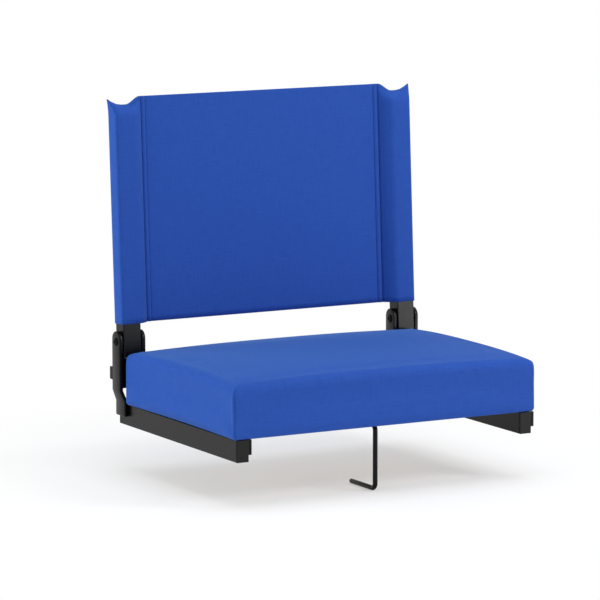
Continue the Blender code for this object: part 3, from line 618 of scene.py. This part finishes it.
bm = bmesh.new()
block = Vector((2 * SEAT_HALF.x, 2 * SEAT_HALF.y, SEAT_EDGE - SEAT_LOW.z))
block_middle = Vector((SEAT_MIDDLE.x, SEAT_MIDDLE.y, (SEAT_EDGE + SEAT_LOW.z) / 2))
bmesh.ops.create_cube(bm, size=1, matrix=Matrix.Translation(block_middle) @ Matrix.Diagonal((*block, 1)))
round_top = [TOP_ROLL * share for share in TOP_CUTS]
round_bottom = [BOTTOM_ROLL * share for share in BOTTOM_CUTS]
for axis in (0, 1):
    ends = round_top + [TURN_IN]
    for station in spaced(SEAT_LOW[axis], SEAT_HIGH[axis], ends, ends, CELL):
        cut_through(bm, axis, station)
for station in spaced(SEAT_LOW.z, SEAT_EDGE, round_bottom, round_top, CELL):
    cut_through(bm, 2, station)
bm.normal_update()
unfold(bm)
corner_seams = [v for v in bm.verts if from_edge(v.co, 0) + from_edge(v.co, 1) < TOUCHING]
round_corners = [
    v for v in bm.verts
    if max(from_edge(v.co, 0), from_edge(v.co, 1)) < CORNER_REACH and v.co.z > SEAT_EDGE - CORNER_DROP
]
opening = [
    f for f in bm.faces
    if f.normal.z < -0.5 and min(from_edge(f.calc_center_median(), i) for i in (0, 1)) > TURN_IN
]
for vert in bm.verts:
    vert.co = cushion_point(vert.co, STUFFING)
for _ in range(CORNER_PASSES):
    bmesh.ops.smooth_vert(
        bm, verts=round_corners, factor=0.5, use_axis_x=True, use_axis_y=True, use_axis_z=True,
    )
bm.normal_update()
for vert, swollen in zip(bm.verts, stuffed(bm)):
    pushed = swollen - vert.co
    pushed -= vert.normal * min(pushed.dot(vert.normal), 0)
    vert.co += pushed * min(STUFFING / max(pushed.length, TOUCHING), 1)
for vert in corner_seams:
    below = SEAT_EDGE - vert.co.z
    share = min(max((below - SEAM_START) / SEAM_FADE, 0), 1)
    inward = SEAT_MIDDLE - vert.co
    inward = Vector((math.copysign(1, inward.x), math.copysign(1, inward.y), 0)).normalized()
    vert.co += inward * SEAM_DEPTH * share

board_low, board_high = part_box("seat_board")
hem = Vector((SEAT_HALF.x - TURN_IN, SEAT_HALF.y - TURN_IN))
nest = (board_high - board_low).xy / 2 + Vector((BOARD_PLAY, BOARD_PLAY))
nest_top = board_high.z + BOARD_PLAY - SEAT_LOW.z
hem_turns = ((HEM_THICKNESS, hem, hem), (HEM_THICKNESS, hem, nest), (nest_top, nest, nest))
bmesh.ops.delete(bm, geom=opening, context="FACES")
rim = [e for e in bm.edges if e.is_boundary]
for height, before, after in hem_turns:
    grown = bmesh.ops.extrude_edge_only(bm, edges=rim)["geom"]
    rim = [part for part in grown if isinstance(part, bmesh.types.BMEdge)]
    for vert in [part for part in grown if isinstance(part, bmesh.types.BMVert)]:
        out = (vert.co - SEAT_MIDDLE).xy
        share = max(abs(out.x) / before.x, abs(out.y) / before.y)
        vert.co.x = SEAT_MIDDLE.x + out.x / share * after.x / before.x
        vert.co.y = SEAT_MIDDLE.y + out.y / share * after.y / before.y
        vert.co.z = SEAT_LOW.z + height
bmesh.ops.holes_fill(bm, edges=rim, sides=0)
bmesh.ops.recalc_face_normals(bm, faces=bm.faces)
cushion = mesh_piece("seat_cushion", bm, woven_polyester, smooth_angle=180)
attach(cushion, "seat_frame")
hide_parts("seat_cover", "seat_foam")


# Back sling
# One length of the same cloth. Its two ends are wrapped round the uprights and sewn down along the panel's
# sides with two rows of stitches each, and the pockets so made are sewn shut over the tubes' tops.

RECLINE = math.radians(3.25)
CLOTH_THICKNESS = 0.0009
CLOTH_EASE = 0.0013
TUBE_HALF_DEPTH = 0.0107
POCKET_ROUNDING = 0.0042
SLING_BOTTOM = 0.022
SLING_TOP = 0.304
PANEL_SETBACK = 0.002
# Each pocket closes over this height, gets wider as it goes flat, and its sewn edge dips to an ear
POCKET_RISE = 0.0226
POCKET_CLOSING = 1.5
POCKET_ROWS = 14
POCKET_FLARE = 0.005
SEWN_HALF = 0.0007
SCOOP_DEPTH = 0.0098
SCOOP_WIDTH = 0.438
EAR_RISE = 0.0077
EAR_WIDTH = 0.417
# The pocket's foot is sewn down in two rows, and the cloth puffs up between them
SEAM_FROM_TUBE = 0.015
SEAM_OVERLAP = 0.009
LAP_GAP = 0.0005
STITCH_ROWS = 0.0067
ROW_GROOVE = 0.0007
ROW_WIDTH = 0.0015
WELT_RISE = 0.0012
SEAM_CELL = 0.0005
SEAM_REACH = 0.007
# The cloth between the foot and the tube bellies out, and rolls over in a lip beside the foot
BELLY = 0.0013
BELLY_PLACE = 0.4
LIP_RISE = 0.0004
LIP_WIDTH = 0.0015
LIP_PLACE = 0.0027
CLOTH_CELL = 0.0075

tube_low, tube_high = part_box("right_upright")
SEAM_X = tube_low.x - SEAM_FROM_TUBE
POCKET_INNER = tube_low.x - CLOTH_EASE
POCKET_OUTER = tube_high.x + CLOTH_EASE
POCKET_DEPTH = TUBE_HALF_DEPTH + CLOTH_EASE
REAR_LAYER = PANEL_SETBACK + CLOTH_THICKNESS + LAP_GAP
LEAN = Matrix.Translation(PIVOT) @ Matrix.Rotation(-RECLINE, 4, "X")


def rounded_path(corners, radius, steps=5):
    """Points along a line of corners, with each inner corner rounded off."""
    path = [corners[0]]
    for before, here, after in zip(corners, corners[1:], corners[2:]):
        start = here + (before - here).normalized() * radius
        end = here + (after - here).normalized() * radius
        for i in range(steps + 1):
            t = i / steps
            path.append(start * (1 - t) ** 2 + here * 2 * t * (1 - t) + end * t**2)
    return path + [corners[-1]]


def bellied(foot, tube):
    """Where the cloth between a pocket's foot and its tube stands out furthest, towards the panel."""
    slope = tube - foot
    out = Vector((-abs(slope.y), math.copysign(slope.x, slope.y))).normalized()
    return foot + slope * BELLY_PLACE + out * BELLY


front_foot = Vector((SEAM_X, PANEL_SETBACK))
front_tube = Vector((POCKET_INNER, -POCKET_DEPTH))
rear_foot = Vector((SEAM_X, REAR_LAYER))
rear_tube = Vector((POCKET_INNER, POCKET_DEPTH))
pocket_corners = [
    front_foot, bellied(front_foot, front_tube), front_tube,
    Vector((POCKET_OUTER, -POCKET_DEPTH)), Vector((POCKET_OUTER, POCKET_DEPTH)),
    rear_tube, bellied(rear_foot, rear_tube), rear_foot,
    Vector((SEAM_X - SEAM_OVERLAP, REAR_LAYER)),
]
half_path = [Vector((0, PANEL_SETBACK))] + rounded_path(pocket_corners, POCKET_ROUNDING)
walked = [0.0]
for before, after in zip(half_path, half_path[1:]):
    walked.append(walked[-1] + (after - before).length)
HALF_CLOTH = walked[-1]
CLOTH_LENGTH = SLING_TOP - SLING_BOTTOM


def across(distance):
    """Plan place of the cloth at a distance from its middle, walked along the cloth."""
    for i, start in enumerate(walked[:-1]):
        if distance <= walked[i + 1] + TOUCHING:
            share = (distance - start) / (walked[i + 1] - start)
            return half_path[i].lerp(half_path[i + 1], min(max(share, 0), 1))
    return half_path[-1]


def sling_point(along, up):
    """Where a place on the flat cloth goes on the sewn back, in the back's own upright frame."""
    plan = across(abs(along))
    out = min(max((plan.x - SEAM_X) / (POCKET_OUTER - SEAM_X), 0), 1)
    closed = min(max(1 - (CLOTH_LENGTH - up) / POCKET_RISE, 0), 1) ** POCKET_CLOSING
    off = plan.y - PANEL_SETBACK
    off += (math.copysign(min(abs(off), SEWN_HALF), off) - off) * closed
    if abs(along) < SEAM_X + SEAM_REACH:
        inside = SEAM_X - abs(along)
        for row in (0, STITCH_ROWS):
            off += ROW_GROOVE * math.exp(-(((inside - row) / ROW_WIDTH) ** 2))
        off -= WELT_RISE * max(1 - (2 * inside / STITCH_ROWS - 1) ** 2, 0)
        off -= LIP_RISE * math.exp(-(((inside + LIP_PLACE) / LIP_WIDTH) ** 2))
    fall = min(out / SCOOP_WIDTH, 1)
    ear = max(1 - (1 - out) / EAR_WIDTH, 0)
    dip = SCOOP_DEPTH * fall**2 * (3 - 2 * fall) - EAR_RISE * ear**2
    x = plan.x + POCKET_FLARE * out * closed
    return Vector((math.copysign(x, along), PANEL_SETBACK + off, SLING_BOTTOM + up - dip * closed))


def spread(marks, step):
    """All marks, with more places between those that lie further apart than a step."""
    places = []
    for start, end in zip(marks, marks[1:]):
        count = max(1, math.ceil((end - start) / step - TOUCHING))
        places += [start + (end - start) * i / count for i in range(count)]
    return places + [marks[-1]]


seam_cells = round((SEAM_OVERLAP + SEAM_REACH) / SEAM_CELL)
seam_marks = [SEAM_X - SEAM_OVERLAP + SEAM_CELL * i for i in range(seam_cells + 1)]
pocket_marks = [w for w in walked if w > seam_marks[-1] + SEAM_CELL]
half_columns = spread([0.0, *seam_marks, *pocket_marks], CLOTH_CELL)
columns = [-c for c in reversed(half_columns[1:])] + half_columns
rows = spread([0, CLOTH_LENGTH - POCKET_RISE], CLOTH_CELL)
rows += spread([CLOTH_LENGTH - POCKET_RISE, CLOTH_LENGTH], POCKET_RISE / POCKET_ROWS)[1:]
bm = bmesh.new()
bmesh.ops.create_grid(bm, x_segments=len(columns) - 1, y_segments=len(rows) - 1, size=0.5)
layer = bm.loops.layers.uv.new("cloth")
for vert in bm.verts:
    column = round((vert.co.x + 0.5) * (len(columns) - 1))
    row = round((vert.co.y + 0.5) * (len(rows) - 1))
    vert.co = (columns[column], rows[row], 0)
for face in bm.faces:
    for loop in face.loops:
        loop[layer].uv = loop.vert.co.xy
for vert in bm.verts:
    vert.co = LEAN @ sling_point(vert.co.x, vert.co.y)
sling = mesh_piece("back_cloth", bm, woven_polyester, smooth_angle=180)
thicken = sling.modifiers.new("cloth_thickness", "SOLIDIFY")
thicken.thickness = CLOTH_THICKNESS
thicken.offset = 0
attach(sling, "back")
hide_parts("back_sling")


# Back stitches
# Lock stitches of blue polyester thread down both rows of each pocket's foot, on the front and the rear,
# and along each pocket's sewn top.

THREAD_BLUE = "1c3a86"
THREAD_SHADOW = "122660"
# The plies of the thread are about 0.2 mm, drawn at 0.4 mm so that they show
PLY_SIZE = 0.0004
PLY_DEPTH = 0.0001
STITCH_PITCH = 0.0034
STITCH_HALF = 0.0014
STITCH_RADIUS = 0.00035
STITCH_SINK = 0.0001
STITCH_LIFT = CLOTH_THICKNESS / 2 + STITCH_RADIUS - STITCH_SINK
TOP_ROW_DOWN = 0.0035
# Stitches are set out along a seam in this many small steps
CLIMB_STEPS = 1000
TOP_STEPS = 400

# Spun polyester thread: twisted plies, a little glossier than the cloth
thread = empty_material("polyester_thread")
place = add_node(thread, "TexCoord", {}).outputs["Object"]
plies = add_node(thread, "TexNoise", {"Vector": place, "Scale": 1 / PLY_SIZE, "Detail": 2.0})
shade = add_node(
    thread, "Mix",
    {0: plies.outputs["Fac"], 6: linear(THREAD_SHADOW), 7: linear(THREAD_BLUE)}, data_type="RGBA",
)
dull = add_node(thread, "MapRange", {"Value": plies.outputs["Fac"], "To Min": 0.5, "To Max": 0.7})
skin = add_node(thread, "Bump", {"Height": plies.outputs["Fac"], "Strength": 0.4, "Distance": PLY_DEPTH})
coat = add_node(
    thread, "BsdfPrincipled",
    {
        "Base Color": shade.outputs[2], "Roughness": dull.outputs["Result"],
        "Normal": skin.outputs["Normal"], "IOR": 1.5, "Specular IOR Level": 0.1,
    },
)
add_node(thread, "OutputMaterial", {"Surface": coat.outputs["BSDF"]})


def sew(seam, line, lift):
    """Adds stitches to a seam's bmesh along places in the back's frame, lifted off the cloth."""
    row = bmesh.new()
    form = Matrix.Diagonal((STITCH_RADIUS, STITCH_RADIUS, STITCH_HALF, 1))
    run = 0.0
    for before, after in zip(line, line[1:]):
        run += (after - before).length
        if run >= STITCH_PITCH:
            run = 0.0
            turn = (after - before).to_track_quat("Z", "Y").to_matrix().to_4x4()
            middle = Matrix.Translation(after + Vector((0, lift, 0)))
            bmesh.ops.create_uvsphere(row, u_segments=6, v_segments=4, radius=1, matrix=middle @ turn @ form)
    bmesh.ops.transform(row, matrix=LEAN, verts=row.verts)
    sewn = bpy.data.meshes.new("stitch_row")
    row.to_mesh(sewn)
    row.free()
    seam.from_mesh(sewn)
    bpy.data.meshes.remove(sewn)


bm = bmesh.new()
climb = [(CLOTH_LENGTH - 2 * STITCH_HALF) * i / CLIMB_STEPS for i in range(CLIMB_STEPS + 1)]
top_front = [SEAM_X + (POCKET_OUTER - SEAM_X) * i / TOP_STEPS for i in range(TOP_STEPS + 1)]
for sign in (-1, 1):
    for inside in (0, STITCH_ROWS):
        rear_row = HALF_CLOTH - SEAM_OVERLAP + inside
        sew(bm, [sling_point(sign * (SEAM_X - inside), up) for up in climb], -STITCH_LIFT)
        sew(bm, [sling_point(sign * rear_row, up) for up in climb], STITCH_LIFT)
    sew(bm, [sling_point(sign * along, CLOTH_LENGTH - TOP_ROW_DOWN) for along in top_front], -STITCH_LIFT)
stitches = mesh_piece("back_stitches", bm, thread, smooth_angle=180)
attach(stitches, "back")


# Bench hook
# A bent steel rod, black coated. Its top run turns in the saddles, its shank hangs past the bench's front
# edge and its foot reaches back under the plank. Both ends are ground round.

HOOK_RADIUS = 0.003
HOOK_BEND = 0.007
HOOK_FOOT = 0.06
HOOK_END_ROUNDING = 0.85 * HOOK_RADIUS
SHANK = Vector(next(joint["pos_m"] for joint in frame["joints"] if joint["name"] == "hook_swing"))
hook_low, hook_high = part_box("bench_hook")
FOOT_LEVEL = hook_low.z + HOOK_RADIUS

bm = bmesh.new()
tail = Matrix.Translation((0, hook_high.y, SHANK.z)) @ Matrix.Rotation(math.pi / 2, 4, "X")
ring = bmesh.ops.create_circle(bm, cap_ends=False, segments=20, radius=HOOK_RADIUS, matrix=tail)["verts"]
rim = list({e for v in ring for e in v.link_edges})
runs = [
    ((0, SHANK.y + HOOK_BEND - hook_high.y, 0), (0, SHANK.y + HOOK_BEND, SHANK.z - HOOK_BEND)),
    ((0, 0, FOOT_LEVEL - SHANK.z + 2 * HOOK_BEND), (0, SHANK.y + HOOK_BEND, FOOT_LEVEL + HOOK_BEND)),
    ((0, HOOK_FOOT - HOOK_BEND, 0), None),
]
for run, centre in runs:
    grown = bmesh.ops.extrude_edge_only(bm, edges=rim)["geom"]
    bmesh.ops.translate(bm, vec=run, verts=[g for g in grown if isinstance(g, bmesh.types.BMVert)])
    rim = [g for g in grown if isinstance(g, bmesh.types.BMEdge)]
    if centre:
        verts = list({v for e in rim for v in e.verts})
        bent = bmesh.ops.spin(
            bm, geom=[*verts, *rim], cent=centre, axis=(1, 0, 0), angle=math.pi / 2, steps=8,
        )["geom_last"]
        rim = [g for g in bent if isinstance(g, bmesh.types.BMEdge)]
bmesh.ops.holes_fill(bm, edges=bm.edges, sides=0)
bmesh.ops.recalc_face_normals(bm, faces=bm.faces)
round_edges(bm, HOOK_END_ROUNDING, segments=4)
hook = mesh_piece("hook_rod", bm, powder_coat)
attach(hook, "hook")
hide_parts("bench_hook")


# Hook saddles, screws and collar
# Pressed steel straps, zinc plated, each screwed up into the board with two pan head screws with a cross
# recess. A plated ring is pinched on the rod's tail, so that the hook can't slide forward out of them.

STRAP_THICKNESS = 0.0015
STRAP_PLAY = 0.0003
STRAP_BEND = 0.0028
STRAP_EDGE = 0.0003
SCREW_SHANK = 0.0016
# A pan head: a flat crown, a rounded shoulder and a straight rim, as shares of its radius and depths
PAN_CROWN = 0.62
PAN_SHOULDER = 0.85
PAN_SHOULDER_DEPTH = 0.0004
PAN_RIM_DEPTH = 0.0011
PAN_HEIGHT = 0.0018
RECESS_HALF_WIDTH = 0.00045
RECESS_REACH = 0.0016
RECESS_DEPTH = 0.0009

for where in ("front", "rear"):
    low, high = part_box(f"hook_{where}_saddle")
    leg = HOOK_RADIUS + STRAP_PLAY + STRAP_THICKNESS / 2
    under = SHANK.z - leg
    flange = high.z - STRAP_THICKNESS / 2
    corners = [
        Vector((low.x, flange)), Vector((-leg, flange)), Vector((-leg, under)),
        Vector((leg, under)), Vector((leg, flange)), Vector((high.x, flange)),
    ]
    bm = bmesh.new()
    line = [bm.verts.new((x, low.y, z)) for x, z in rounded_path(corners, STRAP_BEND)]
    edges = [bm.edges.new(pair) for pair in zip(line, line[1:])]
    grown = bmesh.ops.extrude_edge_only(bm, edges=edges)["geom"]
    wide = Vector((0, high.y - low.y, 0))
    bmesh.ops.translate(bm, vec=wide, verts=[g for g in grown if isinstance(g, bmesh.types.BMVert)])
    strap = mesh_piece(f"hook_{where}_strap", bm, zinc_plate)
    thicken = strap.modifiers.new("strap_thickness", "SOLIDIFY")
    thicken.thickness = STRAP_THICKNESS
    thicken.offset = 0
    soften = strap.modifiers.new("rolled_edges", "BEVEL")
    soften.width = STRAP_EDGE
    soften.segments = 2
    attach(strap, "seat_frame")
    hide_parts(f"hook_{where}_saddle")
    for side in ("left", "right"):
        node = f"hook_{where}_{side}_screw"
        low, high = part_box(node)
        radius = (high.x - low.x) / 2
        height = high.z - low.z
        profile = [
            (0, 0), (radius * PAN_CROWN, 0), (radius * PAN_SHOULDER, PAN_SHOULDER_DEPTH),
            (radius, PAN_RIM_DEPTH), (radius, PAN_HEIGHT),
            (SCREW_SHANK, PAN_HEIGHT), (SCREW_SHANK, height), (0, height),
        ]
        bm = turned(profile, (0, 0, 1), (0, 0, 0), steps=24)
        for axis in (0, 1):
            for station in (-RECESS_REACH, -RECESS_HALF_WIDTH, RECESS_HALF_WIDTH, RECESS_REACH):
                cut_through(bm, axis, station)
        recess = []
        for face in bm.faces:
            middle = face.calc_center_median()
            near, far = sorted((abs(middle.x), abs(middle.y)))
            if middle.z < TOUCHING and near < RECESS_HALF_WIDTH and far < RECESS_REACH:
                recess.append(face)
        grown = bmesh.ops.extrude_face_region(bm, geom=recess)["geom"]
        deeper = [g for g in grown if isinstance(g, bmesh.types.BMVert)]
        bmesh.ops.delete(bm, geom=recess, context="FACES")
        bmesh.ops.translate(bm, vec=(0, 0, RECESS_DEPTH), verts=deeper)
        bmesh.ops.translate(bm, vec=((low.x + high.x) / 2, (low.y + high.y) / 2, low.z), verts=bm.verts)
        screw = mesh_piece(f"hook_{where}_{side}_pan_screw", bm, zinc_plate)
        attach(screw, "seat_frame")
        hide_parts(node)
dress(zinc_plate, "hook_collar")


# Studio
# A pale floor just under the hook, a white room that lights softly from all round, broad lights from the
# rear left and from above, and a small softbox at the front right. A low strip beside it only adds gloss.

FLOOR_GAP = 0.0003
FLOOR_RADIUS = 6
FLOOR_GREY = "f1f2f4"
# Plain white shows through the floor's paint: this share of it near the chair, and all past the fade
NEAR_WHITE = 0.44
FADE_START = 0.2
FADE_END = 0.62
WHITE = "ffffff"
ROOM_LIGHT = 0.5
REAR_LIGHT_TINT = "fffff9"
CHAIR_MIDDLE = Vector((0, 0, 0.12))
CAMERA_PLACE = (-2.392, -4.2355, 0.879)
CAMERA_AIM = Vector((0.481, 0.864, -0.146))
LENS_LENGTH = 238.38
SENSOR_WIDTH = 36


def shows_white(owner):
    """Which rays meet the studio's white: the camera's, and those mirrored in or seen through a piece."""
    rays = add_node(owner, "LightPath", {}).outputs
    mirrored = add_node(
        owner, "Math", {0: rays["Is Camera Ray"], 1: rays["Is Glossy Ray"]}, operation="MAXIMUM",
    )
    shown = add_node(
        owner, "Math", {0: mirrored.outputs[0], 1: rays["Is Transmission Ray"]}, operation="MAXIMUM",
    )
    return shown.outputs[0]


def put_up(thing, place, facing):
    """Sets up a lamp or the camera at a place, facing along a direction."""
    thing.location = place
    thing.rotation_euler = facing.to_track_quat("-Z", "Y").to_euler()
    bpy.context.scene.collection.objects.link(thing)


def softbox(name, place, wide, high, power):
    """A soft light, aimed at the chair."""
    lamp = bpy.data.lights.new(name, "AREA")
    lamp.shape = "RECTANGLE"
    lamp.size = wide
    lamp.size_y = high
    lamp.energy = power
    made = bpy.data.objects.new(name, lamp)
    put_up(made, place, CHAIR_MIDDLE - Vector(place))
    return made


# Matt white paint: it takes the chair's shadow, and fades to the room's white further out
floor_paint = empty_material("matt_white_floor")
place = add_node(floor_paint, "TexCoord", {}).outputs["Object"]
distance = add_node(floor_paint, "VectorMath", {0: place}, operation="LENGTH")
fade = add_node(
    floor_paint, "MapRange",
    {"Value": distance.outputs["Value"], "From Min": FADE_START, "From Max": FADE_END, "To Min": NEAR_WHITE},
)
seen = add_node(
    floor_paint, "Math", {0: shows_white(floor_paint), 1: fade.outputs["Result"]}, operation="MULTIPLY",
)
matt = add_node(floor_paint, "BsdfDiffuse", {"Color": linear(FLOOR_GREY)})
white = add_node(floor_paint, "Emission", {"Color": linear(WHITE), "Strength": 1.0})
either = add_node(
    floor_paint, "MixShader", {0: seen.outputs[0], 1: matt.outputs["BSDF"], 2: white.outputs["Emission"]},
)
add_node(floor_paint, "OutputMaterial", {"Surface": either.outputs["Shader"]})
bm = bmesh.new()
level = Matrix.Translation((0, 0, hook_low.z - FLOOR_GAP))
bmesh.ops.create_circle(bm, cap_ends=True, segments=64, radius=FLOOR_RADIUS, matrix=level)
floor = mesh_piece("floor", bm, floor_paint)

world = bpy.data.worlds.new("white_room")
world.use_nodes = True
world.node_tree.nodes.clear()
bpy.context.scene.world = world
strength = add_node(world, "MapRange", {"Value": shows_white(world), "To Min": ROOM_LIGHT, "To Max": 1.0})
room = add_node(world, "Background", {"Color": linear(WHITE), "Strength": strength.outputs["Result"]})
add_node(world, "OutputWorld", {"Surface": room.outputs["Background"]})

softbox("front_right_softbox", (0.79, -1.14, 0.99), wide=0.43, high=0.43, power=10)
rear_left = softbox("rear_left_light", (-2.4, 1.8, 0.55), wide=1.8, high=0.9, power=62)
rear_left.data.color = linear(REAR_LIGHT_TINT)[:3]
rear_left.visible_glossy = False
overhead = softbox("overhead_light", (0, -0.3, 2.6), wide=2.0, high=2.0, power=32)
overhead.visible_glossy = False
strip = softbox("front_right_strip", (0.75, -1.05, 0.1), wide=0.5, high=0.16, power=3.5)
strip.visible_diffuse = False

bpy.context.scene.view_settings.view_transform = "Standard"
lens = bpy.data.cameras.new("photo_camera")
lens.sensor_width = SENSOR_WIDTH
lens.lens = LENS_LENGTH
camera = bpy.data.objects.new("photo_camera", lens)
put_up(camera, CAMERA_PLACE, CAMERA_AIM)
bpy.context.scene.camera = camera
